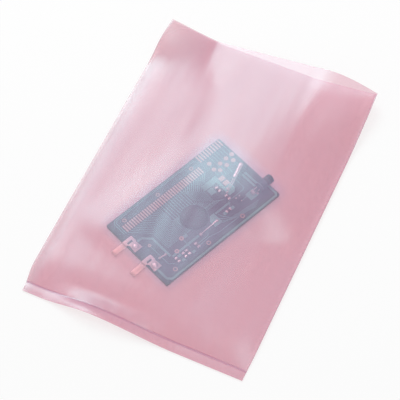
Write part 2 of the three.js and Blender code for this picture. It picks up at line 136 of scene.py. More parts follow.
class BagLook(PropertyGroup):
    """Sizes and colours of the film"""

    spans_across: IntProperty(
        name="Spans across", description="Strips of the film's mesh across the bag", default=96, min=20, max=200
    )
    span_along: FloatProperty(
        name="Span along", description="Length of a strip of the film's mesh along the bag",
        default=1.15 * MM, unit="LENGTH", subtype="DISTANCE",
    )
    wrinkle: FloatProperty(
        name="Wrinkles", description="Height of the soft wrinkles in the upper layer",
        default=0.16 * MM, unit="LENGTH", subtype="DISTANCE",
    )
    feather: FloatProperty(
        name="Seal ridges", description="Height of the small ridges beside the heat seal",
        default=0.16 * MM, unit="LENGTH", subtype="DISTANCE",
    )
    tint: FloatVectorProperty(
        name="Tint", description="Colour of the light that one face of the film lets through",
        default=(0.995, 0.83, 0.84), subtype="COLOR", min=0, max=1,
    )
    haze: FloatVectorProperty(
        name="Haze", description="Colour that the film scatters back",
        default=(0.60, 0.48, 0.72), subtype="COLOR", min=0, max=1,
    )
    haze_share: FloatProperty(
        name="Haze share", description="Share of the light that one face of the film scatters",
        default=0.13, min=0, max=1, subtype="FACTOR",
    )
    # Painted sheen: haze colour over the board that stands in for light falling there
    painted_sheen_haze: FloatVectorProperty(
        name="Painted sheen haze", description="Colour that the film scatters back where it is drawn over the board",
        default=(0.77, 0.54, 0.88), subtype="COLOR", min=0, max=1,
    )
    # Painted shade: darker light let through over the board and just past its edges, standing in for its shadow
    painted_shade_tint: FloatVectorProperty(
        name="Painted shade tint", description="Colour of the light that one face lets through over the board",
        default=(0.905, 0.79, 0.82), subtype="COLOR", min=0, max=1,
    )
    # Painted highlight beside the left fold and in the mouth's left corner
    painted_highlight_share: FloatProperty(
        name="Painted highlight share", description="Haze that is added beside the left fold and in the mouth's left corner",
        default=0.12, min=0, max=1, subtype="FACTOR",
    )
    # Painted sheen: extra haze over the board
    painted_sheen_share: FloatProperty(
        name="Painted sheen share", description="Haze that is added where the film is drawn over the board",
        default=0.055, min=0, max=1, subtype="FACTOR",
    )
    roughness: FloatProperty(
        name="Roughness", description="Roughness of the film", default=0.29, min=0, max=1, subtype="FACTOR"
    )


class BoardLook(PropertyGroup):
    """Colours of the circuit board and its parts"""

    mask: FloatVectorProperty(
        name="Solder mask", description="Colour of the bare laminate under its solder mask",
        default=(0.042, 0.105, 0.115), subtype="COLOR", min=0, max=1,
    )
    runs: FloatVectorProperty(
        name="Copper runs", description="Colour of copper under the solder mask",
        default=(0.24, 0.68, 0.57), subtype="COLOR", min=0, max=1,
    )
    copper: FloatVectorProperty(
        name="Bare copper", description="Colour of bare plated copper",
        default=(0.95, 0.68, 0.54), subtype="COLOR", min=0, max=1,
    )
    epoxy: FloatVectorProperty(
        name="Epoxy", description="Colour of the drop over the chip",
        default=(0.012, 0.008, 0.014), subtype="COLOR", min=0, max=1,
    )
    sleeve: FloatVectorProperty(
        name="Sleeve", description="Colour of the capacitor's sleeve",
        default=(0.025, 0.10, 0.13), subtype="COLOR", min=0, max=1,
    )
    ceramic: FloatVectorProperty(
        name="Chip parts", description="Colour of the small ceramic parts",
        default=(0.14, 0.07, 0.06), subtype="COLOR", min=0, max=1,
    )


class StageLook(PropertyGroup):
    """Lamps and ground"""

    side_lamp: FloatProperty(
        name="Side lamp", description="Power of the soft box at the far left", default=9.6, min=0, unit="POWER"
    )
    top_lamp: FloatProperty(
        name="Top lamp", description="Power of the small soft box overhead", default=4.0, min=0, unit="POWER"
    )
    ambient: FloatProperty(
        name="Ambient", description="Strength of the light from all round", default=0.48, min=0
    )
    ground: FloatVectorProperty(
        name="Ground", description="Colour of the ground", default=(0.97, 0.97, 0.97), subtype="COLOR", min=0, max=1
    )


# Small helpers


def clamp01(t):
    return min(max(t, 0.0), 1.0)


def ease(t):
    t = clamp01(t)
    return t * t * (3 - 2 * t)


def bell(t):
    return (1 + math.cos(math.pi * t)) / 2 if abs(t) < 1 else 0.0


def blend_max(a, b):
    return (a + b + math.hypot(a - b, BLEND_WIDTH)) / 2


def lerp(a, b, t):
    return a + (b - a) * t


def curve_through(points, t):
    """Smooth curve through (place, value) points that starts level"""
    steps = [(b[1] - a[1]) / (b[0] - a[0]) for a, b in zip(points, points[1:])]
    slopes = [0.0, *((a + b) / 2 for a, b in zip(steps, steps[1:])), steps[-1]]
    i = max(k for k in range(len(steps)) if points[k][0] <= t or k == 0)
    (x0, y0), (x1, y1) = points[i], points[i + 1]
    width = x1 - x0
    u = clamp01((t - x0) / width)
    swing = slopes[i] * width * u * (1 - u) ** 2 - slopes[i + 1] * width * u * u * (1 - u)
    return lerp(y0, y1, ease(u)) + swing


def on_board(x, y, z=0.0):
    """A point of the board, in the object's metres; z counts from the deck"""
    return ON_BOARD @ Vector((x, y, z + BOARD_SIZE[2]))


def deselect_all():
    if bpy.context.mode != "OBJECT":
        bpy.ops.object.mode_set(mode="OBJECT")
    bpy.ops.object.select_all(action="DESELECT")


def only(piece):
    deselect_all()
    piece.select_set(True)
    bpy.context.view_layer.objects.active = piece


def edit(piece, mode="FACE"):
    only(piece)
    bpy.ops.object.mode_set(mode="EDIT")
    bpy.ops.mesh.select_mode(type=mode)


def leave_edit():
    bpy.ops.object.mode_set(mode="OBJECT")


def settle(piece):
    """Puts the piece's place into its mesh"""
    only(piece)
    bpy.ops.object.transform_apply(location=True, rotation=True, scale=True)


def smooth(piece, degrees=35):
    only(piece)
    bpy.ops.object.shade_smooth_by_angle(angle=math.radians(degrees))


def dress(piece, *materials):
    piece.data.materials.clear()
    for material in materials:
        piece.data.materials.append(material)


def enlist(piece, slot, *nodes):
    """The piece rides on the one body and stands for its nodes, which it hides; slot is not used"""
    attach(piece, "root")
    if nodes:
        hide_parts(*nodes)


# Node helpers


def add(tree, kind, **values):
    made = tree.nodes.new(kind)
    for key, value in values.items():
        setattr(made, key, value)
    return made


def feed(tree, target, source):
    """Sets a socket to a value, or links it to another socket"""
    if isinstance(source, bpy.types.NodeSocket):
        tree.links.new(source, target)
    else:
        target.default_value = source


def math_node(tree, operation, *sources, clamp=False):
    made = add(tree, "ShaderNodeMath", operation=operation, use_clamp=clamp)
    for socket, source in zip(made.inputs, sources):
        feed(tree, socket, source)
    return made.outputs[0]


def blend_colour(tree, share, first, second, kind="MIX"):
    made = add(tree, "ShaderNodeMix", data_type="RGBA", blend_type=kind)
    feed(tree, made.inputs[0], share)
    feed(tree, made.inputs[6], first)
    feed(tree, made.inputs[7], second)
    return made.outputs[2]


def span(tree, value, low, high, to_low=0.0, to_high=1.0):
    """Maps a value from one range to another, held at the ends"""
    made = add(tree, "ShaderNodeMapRange", clamp=True)
    for socket, source in zip(made.inputs, (value, low, high, to_low, to_high)):
        feed(tree, socket, source)
    return made.outputs[0]


def rgba(colour):
    return (*colour, 1.0)


def shades(colour, factor):
    return tuple(min(c * factor, 1.0) for c in colour)


def object_point(tree, scale=(1, 1, 1)):
    """The object's own coordinates, stretched"""
    place = add(tree, "ShaderNodeTexCoord")
    made = add(tree, "ShaderNodeMapping")
    made.inputs["Scale"].default_value = scale
    tree.links.new(place.outputs["Object"], made.inputs["Vector"])
    return made.outputs[0]


def board_point(tree):
    """Board coordinates x, y and z in millimetres, from the object's own"""
    place = add(tree, "ShaderNodeTexCoord")
    made = add(tree, "ShaderNodeMapping", vector_type="TEXTURE")
    made.inputs["Location"].default_value = Vector(BOARD_AT) * MM
    made.inputs["Rotation"].default_value = (0, 0, math.radians(BOARD_TURN))
    made.inputs["Scale"].default_value = (MM, MM, MM)
    tree.links.new(place.outputs["Object"], made.inputs["Vector"])
    apart = add(tree, "ShaderNodeSeparateXYZ")
    tree.links.new(made.outputs[0], apart.inputs[0])
    return apart.outputs


def grain_group():
    """Fine grain that several finishes share: a shade about 1 and a height"""
    name = "fine grain"
    if name in bpy.data.node_groups:
        return bpy.data.node_groups[name]
    group = bpy.data.node_groups.new(name, "ShaderNodeTree")
    group.interface.new_socket("Scale", in_out="INPUT", socket_type="NodeSocketFloat").default_value = 800
    group.interface.new_socket("Contrast", in_out="INPUT", socket_type="NodeSocketFloat").default_value = 0.2
    group.interface.new_socket("Shade", in_out="OUTPUT", socket_type="NodeSocketFloat")
    group.interface.new_socket("Height", in_out="OUTPUT", socket_type="NodeSocketFloat")
    inward = group.nodes.new("NodeGroupInput")
    outward = group.nodes.new("NodeGroupOutput")
    fine = add(group, "ShaderNodeTexNoise")
    fine.inputs["Detail"].default_value = 4
    broad = add(group, "ShaderNodeTexNoise")
    broad.inputs["Detail"].default_value = 2
    point = add(group, "ShaderNodeTexCoord").outputs["Object"]
    for node, factor in ((fine, 1.0), (broad, 0.17)):
        group.links.new(point, node.inputs["Vector"])
        group.links.new(math_node(group, "MULTIPLY", inward.outputs["Scale"], factor), node.inputs["Scale"])
    both = math_node(group, "ADD", fine.outputs["Fac"], broad.outputs["Fac"])
    swing = math_node(group, "MULTIPLY", math_node(group, "SUBTRACT", both, 1.0), inward.outputs["Contrast"])
    group.links.new(math_node(group, "ADD", swing, 1.0), outward.inputs["Shade"])
    group.links.new(fine.outputs["Fac"], outward.inputs["Height"])
    return group


def finish(name, colour, roughness=0.5, metallic=0.0, scale=1500, contrast=0.3, bump=0.02, pattern=None):
    """A procedural finish: grain in colour, roughness and relief. pattern(tree, colour) may change the colour."""
    material = bpy.data.materials.new(name)
    material.use_nodes = True
    tree = material.node_tree
    shader = tree.nodes["Principled BSDF"]
    grain = add(tree, "ShaderNodeGroup", node_tree=grain_group())
    grain.inputs["Scale"].default_value = scale
    grain.inputs["Contrast"].default_value = contrast
    base = rgba(colour)
    if pattern:
        base = pattern(tree, base)
    shaded = blend_colour(tree, 1.0, base, grain.outputs["Shade"], "MULTIPLY")
    feed(tree, shader.inputs["Base Color"], shaded)
    feed(tree, shader.inputs["Roughness"], math_node(tree, "MULTIPLY", grain.outputs["Shade"], roughness, clamp=True))
    shader.inputs["Metallic"].default_value = metallic
    relief = add(tree, "ShaderNodeBump")
    relief.inputs["Strength"].default_value = 0.5
    relief.inputs["Distance"].default_value = bump * MM
    tree.links.new(grain.outputs["Height"], relief.inputs["Height"])
    tree.links.new(relief.outputs[0], shader.inputs["Normal"])
    return material


# Film


def tuck_at(tuck, y):
    near_mouth = ease((y - (MOUTH_Y - tuck["reach"])) / tuck["reach"])
    near_seal = ease((BOTTOM_Y + tuck["reach"] - y) / tuck["reach"])
    return tuck["mouth"] * near_mouth + tuck["seal"] * near_seal


def left_fold(y):
    return -HALF_WIDTH + tuck_at(LEFT_TUCK, y)


def right_fold(y):
    return HALF_WIDTH - tuck_at(RIGHT_TUCK, y)


def lift(x, y):
    """Height of the whole bag above the ground"""
    curls = 0.0
    for curl, from_side in ((LEFT_CURL, x + HALF_WIDTH), (RIGHT_CURL, HALF_WIDTH - x)):
        across = clamp01(1 - from_side / curl["spread"]) ** curl["softness"]
        curls += curl["height"] * across * ease((y - (MOUTH_Y - curl["reach"])) / curl["reach"])
    spread = SEAL_WAVE["left"] if x < SEAL_WAVE["x"] else SEAL_WAVE["right"]
    wave = bell((x - SEAL_WAVE["x"]) / spread) * ease((BOTTOM_Y + SEAL_WAVE["reach"] - y) / SEAL_WAVE["reach"])
    return curls + SEAL_WAVE["height"] * wave


def puff_gap(x, y):
    from_fold = min(x - left_fold(y), right_fold(y) - x)
    across = 1 - (1 - clamp01(from_fold / PUFF["spread"])) ** 2
    crown = PUFF["crown"] * (1 - (x / HALF_WIDTH) ** 2)
    return (PUFF["height"] * across + crown) * (1 - ease((y - (MOUTH_Y - PUFF["mouth"])) / PUFF["mouth"]))


def capacitor_top():
    low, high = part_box("capacitor_body")
    return (low[0] + high[0]) / 2 / MM, (low[1] + high[1]) / 2 / MM


CAPACITOR_X, CAPACITOR_Y = capacitor_top()


def ridge_gap(x, y):
    rise = ease((y - CAPACITOR_Y) / RIDGE["rise"])
    height = lerp(RIDGE["end"], RIDGE["mouth"], rise)
    crest = lerp(CAPACITOR_X, HALF_WIDTH - RIDGE["from_fold"], rise)
    side = lerp(RIDGE["left_end"], RIDGE["left_mouth"], rise) if x < crest else HALF_WIDTH - crest
    t = clamp01(abs(x - crest) / side)
    round_top = math.cos(t * math.pi / 2)
    across = lerp(round_top, curve_through(RIDGE_FLANK, t), rise) if x < crest else round_top
    behind = max(0.0, CAPACITOR_Y - RIDGE_FADE["start"] - y)
    return height * across * bell(behind / RIDGE_FADE["length"])


def tent_gap(x, y):
    turn = math.radians(BOARD_TURN)
    dx, dy = x - BOARD_AT[0], y - BOARD_AT[1]
    past_end = abs(dx * math.cos(turn) + dy * math.sin(turn)) - BOARD_SIZE[0] / 2
    past_side = abs(dy * math.cos(turn) - dx * math.sin(turn)) - BOARD_SIZE[1] / 2
    return TENT["height"] * bell(math.hypot(max(past_end, 0), max(past_side, 0)) / TENT["spread"])


def air_gap(x, y):
    """Space between the layers"""
    if y < SEAL_Y:
        return SEAL_GAP + SKIRT_GAP * ease((SEAL_Y - SEAL_HALF - y) / 2)
    air = blend_max(blend_max(puff_gap(x, y), ridge_gap(x, y)), tent_gap(x, y))
    from_seal = clamp01((y - SEAL_Y) / PUFF["seal"])
    return SEAL_GAP + (LAYER_GAP + air) * (1 - (1 - from_seal) ** 2)


def wrinkles(x, y, look):
    """Small relief of the upper layer: soft wrinkles along the bag and feathered ridges beside the seal"""
    from_fold = min(x - left_fold(y), right_fold(y) - x)
    free = ease(from_fold / 8) * ease((y - SEAL_Y) / 14)
    soft = noise.noise(Vector((x / 11, y / 42, 1.7))) + 0.5 * noise.noise(Vector((x / 4.5, y / 26, 7.1)))
    beside_seal = ease((y - SEAL_Y) / 1.2) * math.exp(-max(y - SEAL_Y, 0) / 3.4)
    ridges = max(noise.noise(Vector((x / 1.5 + 0.25 * y, 0.06 * y, 3.3))), -0.15)
    return (look.wrinkle * soft * free + look.feather * ridges * beside_seal * ease(from_fold / 4)) / MM


def film_columns(y, look):
    left, right = left_fold(y), right_fold(y)
    flat = right - left - 2 * FOLD_RADIUS
    inner = [left + FOLD_RADIUS + flat * i / look.spans_across for i in range(look.spans_across + 1)]
    near = [left + FOLD_RADIUS * step for step in FOLD_STEPS]
    far = [right - FOLD_RADIUS * step for step in reversed(FOLD_STEPS)]
    return near + inner + far


def film_ring(y, inset, look):
    """One ring of points round the flattened tube, on its outer or its inner side"""
    left, right = left_fold(y), right_fold(y)
    upper, lower = [], []
    for x in [left + inset, *film_columns(y, look), right - inset]:
        gap = air_gap(x, y)
        from_fold = min(x - left, right - x)
        kept_in = min(max(x, left + FOLD_RADIUS), right - FOLD_RADIUS)
        middle = air_gap(kept_in, y) / 2 + FILM_WALL
        t = clamp01((from_fold - inset) / (FOLD_RADIUS - inset))
        round_off = math.sqrt(1 - (1 - t) ** 2)
        base = lift(x, y) + middle
        crease = wrinkles(x, y, look) * round_off
        upper.append((x, y, base + (gap + 2 * FILM_WALL - inset - middle) * round_off + crease))
        lower.append((x, y, base + (inset - middle) * round_off))
    return upper + lower[-2:0:-1]


def film_stations(look):
    """Places along the bag where a ring stands: skirt, heat seal, then the pouch"""
    skirt_end, pouch_start = SEAL_Y - SEAL_HALF, SEAL_Y + SEAL_HALF
    skirt = [lerp(BOTTOM_Y, skirt_end, i / 6) for i in range(7)]
    seal = [SEAL_Y - 0.12, SEAL_Y + 0.12]
    near = [pouch_start + 0.55 * i for i in range(14)]
    count = round((MOUTH_Y - near[-1]) / (look.span_along / MM))
    far = [lerp(near[-1], MOUTH_Y, i / count) for i in range(1, count + 1)]
    return skirt, seal, near + far


def film_mesh(look):
    """Closed shell of the bag: a pouch that is open at the mouth and a skirt that is open at its cut edge"""
    skirt, seal, pouch = film_stations(look)
    rings, points, faces = {}, [], []

    def ring(y, inset):
        if (y, inset) not in rings:
            made = film_ring(y, inset, look)
            rings[y, inset] = list(range(len(points), len(points) + len(made)))
            points.extend(Vector(p) * MM for p in made)
        return rings[y, inset]

    def wall(stations, inset, flip):
        for y0, y1 in zip(stations, stations[1:]):
            first, second = ring(y0, inset), ring(y1, inset)
            for i in range(len(first)):
                k = (i + 1) % len(first)
                quad = (first[i], first[k], second[k], second[i])
                faces.append(quad if flip else quad[::-1])

    def rim(y, flip):
        outer, inner = ring(y, 0.0), ring(y, FILM_WALL)
        for i in range(len(outer)):
            k = (i + 1) % len(outer)
            quad = (outer[i], outer[k], inner[k], inner[i])
            faces.append(quad if flip else quad[::-1])

    def cap(y, flip):
        loop = ring(y, FILM_WALL)
        size = len(loop)
        for i in range(size // 2):
            corners = (loop[i], loop[i + 1], loop[(size - i - 1) % size], loop[(size - i) % size])
            quad = tuple(dict.fromkeys(corners))
            faces.append(quad if flip else quad[::-1])

    wall(skirt + seal + pouch, 0.0, False)
    wall(skirt, FILM_WALL, True)
    wall(pouch, FILM_WALL, True)
    rim(BOTTOM_Y, True)
    rim(pouch[-1], False)
    cap(skirt[-1], True)
    cap(pouch[0], False)
    mesh = bpy.data.meshes.new("bag_film_fine")
    mesh.from_pydata(points, [], faces)
    mesh.validate()
    return mesh


def film_material(look):
    """Two faces for each layer: each lets tinted light through, and scatters and mirrors a share"""
    material = bpy.data.materials.new("pink film")
    material.use_nodes = True
    tree = material.node_tree
    shader = tree.nodes["Principled BSDF"]
    output = tree.nodes["Material Output"]
    clear = add(tree, "ShaderNodeBsdfTransparent")
    join = add(tree, "ShaderNodeMixShader")

    cloud = add(tree, "ShaderNodeTexNoise")
    cloud.inputs["Scale"].default_value = 1.0
    cloud.inputs["Detail"].default_value = 3
    tree.links.new(object_point(tree, (55, 22, 55)), cloud.inputs["Vector"])
    clouding = span(tree, cloud.outputs["Fac"], 0.3, 0.7, 0.9, 1.1)

    # Faint drawn lines that run along the tube
    lines = add(tree, "ShaderNodeTexNoise")
    lines.inputs["Scale"].default_value = 1.0
    lines.inputs["Detail"].default_value = 1
    tree.links.new(object_point(tree, (330, 3.5, 3.5)), lines.inputs["Vector"])

    # Tiny gels and dust
    specks = add(tree, "ShaderNodeTexVoronoi")
    specks.inputs["Scale"].default_value = 260
    tree.links.new(object_point(tree), specks.inputs["Vector"])
    dot = span(tree, specks.outputs["Distance"], 0.03, 0.09, 1.0, 0.0)
    rare = math_node(tree, "GREATER_THAN", specks.outputs["Color"], 0.93)
    speck = math_node(tree, "MULTIPLY", dot, rare)

    # The heat seal: a darker pressed line
    apart = add(tree, "ShaderNodeSeparateXYZ")
    tree.links.new(object_point(tree), apart.inputs[0])
    from_seal = math_node(tree, "ABSOLUTE", math_node(tree, "SUBTRACT", apart.outputs["Y"], SEAL_Y * MM))
    seal = span(tree, from_seal, 0.25 * MM, 0.5 * MM, 1.0, 0.0)

    # Painted sheen and painted shade over the board, reaching a few millimetres past its edges: more and bluer haze,
    # and darker light let through, standing in for the lit veil and the board's shadow
    x, y, _ = board_point(tree)
    across = span(tree, math_node(tree, "ABSOLUTE", x), *SHEEN_AND_SHADE_END, 1.0, 0.0)
    along = span(tree, math_node(tree, "ABSOLUTE", y), *SHEEN_AND_SHADE_SIDE, 1.0, 0.0)
    drawn = math_node(tree, "MULTIPLY", across, along)

    # Painted highlight: whiter haze beside the left fold and in the lifted corner, standing in for the light these
    # places catch
    left_edge, mouth_edge = -HALF_WIDTH * MM, MOUTH_Y * MM
    fold = span(tree, apart.outputs["X"], left_edge, left_edge + PAINTED_HIGHLIGHT_WIDTH * MM, 1.0, 0.0)
    corner = math_node(
        tree, "MULTIPLY",
        span(tree, apart.outputs["X"], left_edge, left_edge + PAINTED_CORNER_HIGHLIGHT["width"] * MM, 1.0, 0.0),
        span(tree, apart.outputs["Y"], mouth_edge - PAINTED_CORNER_HIGHLIGHT["length"] * MM, mouth_edge),
    )
    crease = math_node(tree, "MAXIMUM", fold, math_node(tree, "MULTIPLY", corner, PAINTED_CORNER_HIGHLIGHT["weight"]))

    share = math_node(tree, "MULTIPLY", clouding, look.haze_share)
    share = math_node(tree, "ADD", share, math_node(tree, "MULTIPLY", drawn, look.painted_sheen_share))
    share = math_node(tree, "ADD", share, math_node(tree, "MULTIPLY", crease, look.painted_highlight_share))
    share = math_node(tree, "ADD", share, math_node(tree, "MULTIPLY", speck, 0.25))
    share = math_node(tree, "ADD", share, math_node(tree, "MULTIPLY", seal, 0.18), clamp=True)
    tint = blend_colour(tree, drawn, rgba(look.tint), rgba(look.painted_shade_tint))
    tint = blend_colour(tree, seal, tint, SEAL_TINT)
    haze = blend_colour(tree, drawn, rgba(look.haze), rgba(look.painted_sheen_haze))
    haze = blend_colour(tree, math_node(tree, "MINIMUM", crease, 1.0), haze, PAINTED_HIGHLIGHT_HAZE)
    haze = blend_colour(tree, seal, haze, SEAL_HAZE)
    feed(tree, clear.inputs["Color"], tint)
    feed(tree, shader.inputs["Base Color"], haze)
    rough = span(tree, cloud.outputs["Fac"], 0.3, 0.7, look.roughness - 0.05, look.roughness + 0.06)
    feed(tree, shader.inputs["Roughness"], rough)
    shader.inputs["IOR"].default_value = FILM_INDEX
    shader.inputs["Specular Tint"].default_value = GLOSS_TINT
    relief = add(tree, "ShaderNodeBump")
    relief.inputs["Strength"].default_value = 0.12
    relief.inputs["Distance"].default_value = 0.06 * MM
    tree.links.new(lines.outputs["Fac"], relief.inputs["Height"])
    tree.links.new(relief.outputs[0], shader.inputs["Normal"])

    # A face seen at a slant holds more film, so it lets less through
    slant = add(tree, "ShaderNodeLayerWeight")
    slant.inputs["Blend"].default_value = 0.25
    edge = math_node(tree, "MULTIPLY", slant.outputs["Facing"], 0.35)
    total = math_node(tree, "ADD", share, edge, clamp=True)
    tree.links.new(total, join.inputs[0])
    tree.links.new(clear.outputs[0], join.inputs[1])
    tree.links.new(shader.outputs[0], join.inputs[2])
    tree.links.new(join.outputs[0], output.inputs["Surface"])
    return material


class BAG_OT_film(Operator):
    """Make the film bag: two layers, folded sides, heat seal, skirt and open mouth"""

    bl_idname = "bag.film"
    bl_label = "Film bag"

    def execute(self, context):
        look = context.scene.bag_look
        deselect_all()
        piece = bpy.data.objects.new("bag_film_fine", film_mesh(look))
        context.collection.objects.link(piece)
        smooth(piece, 60)
        dress(piece, film_material(look))
        enlist(piece, "film", "bag_film")
        return {"FINISHED"}


# Circuit board


def finger_reach():
    """Where the row of display fingers starts and ends along the board"""
    half, last = FINGERS["pitch"] / 2, FINGERS["first"] + (FINGERS["count"] - 1) * FINGERS["pitch"]
    return FINGERS["first"] - half, last + half


def board_material(look):
    """Solder mask over laminate, bare plated copper on what stands above the deck"""

    def pattern(tree, base):
        x, y, z = board_point(tree)
        raised = span(tree, z, BOARD_SIZE[2] + 0.02, BOARD_SIZE[2] + 0.05)
        blotch = add(tree, "ShaderNodeTexNoise")
        blotch.inputs["Scale"].default_value = 140
        tree.links.new(object_point(tree), blotch.inputs["Vector"])
        worn = span(tree, blotch.outputs["Fac"], 0.35, 0.65)
        bright = blend_colour(tree, worn, rgba(look.copper), rgba(shades(look.copper, 1.25)))
        # Bare laminate between the display fingers
        low, high = finger_reach()
        in_x = math_node(tree, "MULTIPLY", span(tree, x, low - 0.1, low), span(tree, x, high, high + 0.1, 1, 0))
        in_y = math_node(
            tree, "MULTIPLY",
            span(tree, y, FINGERS["low"] - 0.2, FINGERS["low"]),
            span(tree, y, FINGERS["high"], FINGERS["high"] + 0.2, 1, 0),
        )
        strip = math_node(tree, "MULTIPLY", in_x, in_y)
        deck = blend_colour(tree, strip, base, (0.10, 0.045, 0.05, 1))
        side = span(tree, z, BOARD_SIZE[2] - 0.06, BOARD_SIZE[2] - 0.02)
        core = blend_colour(tree, side, (0.16, 0.15, 0.07, 1), deck)
        bottom = span(tree, z, 0.02, 0.06)
        whole = blend_colour(tree, bottom, base, core)
        return blend_colour(tree, raised, whole, bright)

    return finish("solder mask", look.mask, 0.42, 0.0, 900, 0.25, 0.015, pattern)


def runs_piece(name, width, routes):
    """Flat copper runs under the mask: poly curves, made a mesh and pressed flat on the deck"""
    deselect_all()
    curve = bpy.data.curves.new(name, "CURVE")
    curve.dimensions = "3D"
    curve.bevel_depth = width / 2 * MM
    curve.bevel_resolution = 1
    curve.use_fill_caps = True
    for route in routes:
        spline = curve.splines.new("POLY")
        spline.points.add(len(route) - 1)
        for point, (x, y) in zip(spline.points, route):
            point.co = (*on_board(x, y), 1)
    piece = bpy.data.objects.new(name, curve)
    bpy.context.collection.objects.link(piece)
    only(piece)
    bpy.ops.object.convert(target="MESH")
    piece = bpy.context.view_layer.objects.active
    edit(piece)
    bpy.ops.mesh.select_all(action="SELECT")
    bpy.ops.transform.resize(value=(1, 1, RUN_HEIGHT / width), center_override=(0, 0, DECK_Z * MM))
    bpy.ops.mesh.normals_make_consistent(inside=False)
    leave_edit()
    smooth(piece, 50)
    return piece


def plates_piece(name, outlines):
    """Copper areas under the mask: filled flat curves with a little height"""
    deselect_all()
    curve = bpy.data.curves.new(name, "CURVE")
    curve.dimensions = "2D"
    curve.fill_mode = "BOTH"
    curve.extrude = RUN_HEIGHT / 2 * MM
    for outline in outlines:
        spline = curve.splines.new("POLY")
        spline.points.add(len(outline) - 1)
        for point, (x, y) in zip(spline.points, outline):
            point.co = (x * MM, y * MM, 0, 1)
        spline.use_cyclic_u = True
    piece = bpy.data.objects.new(name, curve)
    bpy.context.collection.objects.link(piece)
    only(piece)
    bpy.ops.object.convert(target="MESH")
    piece = bpy.context.view_layer.objects.active
    piece.matrix_world = ON_BOARD @ Matrix.Scale(1 / MM, 4) @ Matrix.Translation((0, 0, BOARD_SIZE[2] * MM))
    settle(piece)
    edit(piece)
    bpy.ops.mesh.select_all(action="SELECT")
    bpy.ops.mesh.remove_doubles(threshold=0.002 * MM)
    bpy.ops.mesh.normals_make_consistent(inside=False)
    leave_edit()
    return piece


def display_runs():
    """Thin runs from the display fingers to the chip"""
    routes = []
    centre_x, centre_y, radius = BLOB["x"], BLOB["y"], BLOB["radius"] - 0.3
    for i in range(FINGERS["count"]):
        x = FINGERS["first"] + FINGERS["pitch"] * i
        top = [(x, FINGERS["low"]), (x, 10.3)]
        if i < 15:
            lane = -20.5 + 0.72 * i
            angle = math.radians(lerp(218, 128, i / 14))
        elif i > 24:
            lane = 3.2 + 0.62 * (i - 25)
            angle = math.radians(lerp(58, -8, (i - 25) / 10))
        else:
            reach = max(radius**2 - (x - centre_x) ** 2, 1.0) ** 0.5
            routes.append([*top, (x, centre_y + reach - 0.4)])
            continue
        end = (centre_x + radius * math.cos(angle), centre_y + radius * math.sin(angle))
        turn = 0.6 if lane < end[0] else -0.6
        corner = [(lane, 10.3 - abs(lane - x)), (lane, end[1] + 0.6), (lane + turn, end[1])]
        routes.append([*top, *corner, end])
    return routes


def thin_routes():
    routes = display_runs()
    # Two that run round the display fingers' outside
    routes.append([(-29.75, 11.0), (-29.75, 17.3), (-28.4, 18.75), (17.0, 18.75)])
    routes.append([(-28.75, 11.0), (-28.75, 17.1), (-27.9, 18.1), (17.0, 18.1)])
    # From the edge fingers and the test dots
    for x, low in ((22.9, 3.6), (24.5, 10.6), (25.8, 3.2), (27.2, 10.4), (28.6, 10.6), (30.0, 3.0), (31.7, 10.7)):
        routes.append([(x, 15.2), (x, low + 1), (x - 0.5, low)])
    for x, y in ((20.7, 12.6), (20.2, 9.1), (24.3, 9.5), (22.0, 7.0), (25.9, 7.0), (29.7, 6.9)):
        routes.append([(x, y), (x - 0.6, y - 1.6), (x - 0.6, y - 3.4)])
    # Right of the chip, and along the lower edge
    for k in range(4):
        y = -2.6 - 0.5 * k
        routes.append([(3.9, y), (9.5 + 0.8 * k, y), (10.6 + 0.8 * k, y - 0.9)])
    for k in range(4):
        start = 1.5 + 1.6 * k
        routes.append(
            [(start, -8.6), (start + 0.6, -10.4), (start + 4.0, -13.2 - 0.55 * k), (24 - k, -15.2 - 0.5 * k)]
        )
    routes.append([(-25.5, -0.3), (-25.4, -12.3), (-23.4, -14.0)])
    routes.append([(-9.4, -13.4), (-4.0, -13.4), (-3.0, -12.4)])
    routes.append([(-9.6, -14.6), (-3.9, -14.2), (1.2, -15.4), (12.0, -15.6)])
    routes.append([(12.0, -10.4), (14.2, -6.9), (22.8, -6.9), (23.7, -6.0), (23.7, -1.0)])
    routes.append([(18.4, -10.5), (21.5, -10.5)])
    routes.append([(-18.8, -10.15), (-18.8, -12.4)])
    routes.append([(-13.2, -6.9), (-13.2, -12.9)])
    return routes


WIDE_ROUTES = [
    [(-28.0, 4.6), (-25.6, 4.6), (-22.35, 1.36), (-22.35, -10.1)],
    [(-21.9, -10.8), (-6.8, -10.8)],
    [(5.7, -7.65), (14.0, -7.65)],
    [(-30.6, -8.0), (-30.6, -16.9), (-29.0, -18.6), (31.0, -18.6), (31.9, -17.6), (31.9, -13.0)],
    [(27.6, -1.0), (27.6, -9.0)],
    [(29.2, -1.0), (29.2, -9.0)],
]
PLATES = [
    [(16.4, 3.5), (17.7, 3.5), (17.7, -0.5), (20.8, -0.5), (20.8, -3.6), (19.3, -5.1), (16.4, -5.1)],
    [(1.2, -9.0), (3.0, -7.0), (5.2, -7.0), (5.2, -12.5), (1.2, -12.5)],
    [(21.5, -9.3), (26.1, -9.3), (26.1, -13.3), (21.5, -13.3)],
    [(8.0, -9.6), (9.6, -9.6), (9.6, -11.1), (8.0, -11.1)],
    [(12.1, -9.6), (14.0, -9.6), (14.0, -11.1), (12.1, -11.1)],
    [(-12.1, -6.2), (-10.2, -6.2), (-10.2, -7.8), (-12.1, -7.8)],
    [(-20.2, -11.9), (-18.6, -11.9), (-18.6, -13.0), (-20.2, -13.0)],
    [(-20.2, -14.5), (-18.6, -14.5), (-18.6, -15.6), (-20.2, -15.6)],
    [(-14.3, -14.5), (-12.7, -14.5), (-12.7, -15.6), (-14.3, -15.6)],
    [(10.0, 3.6), (18.4, 3.6), (18.4, 6.4), (10.0, 6.4)],
    [(10.6, 0.1), (13.4, 0.1), (13.4, 3.1), (10.6, 3.1)],
]
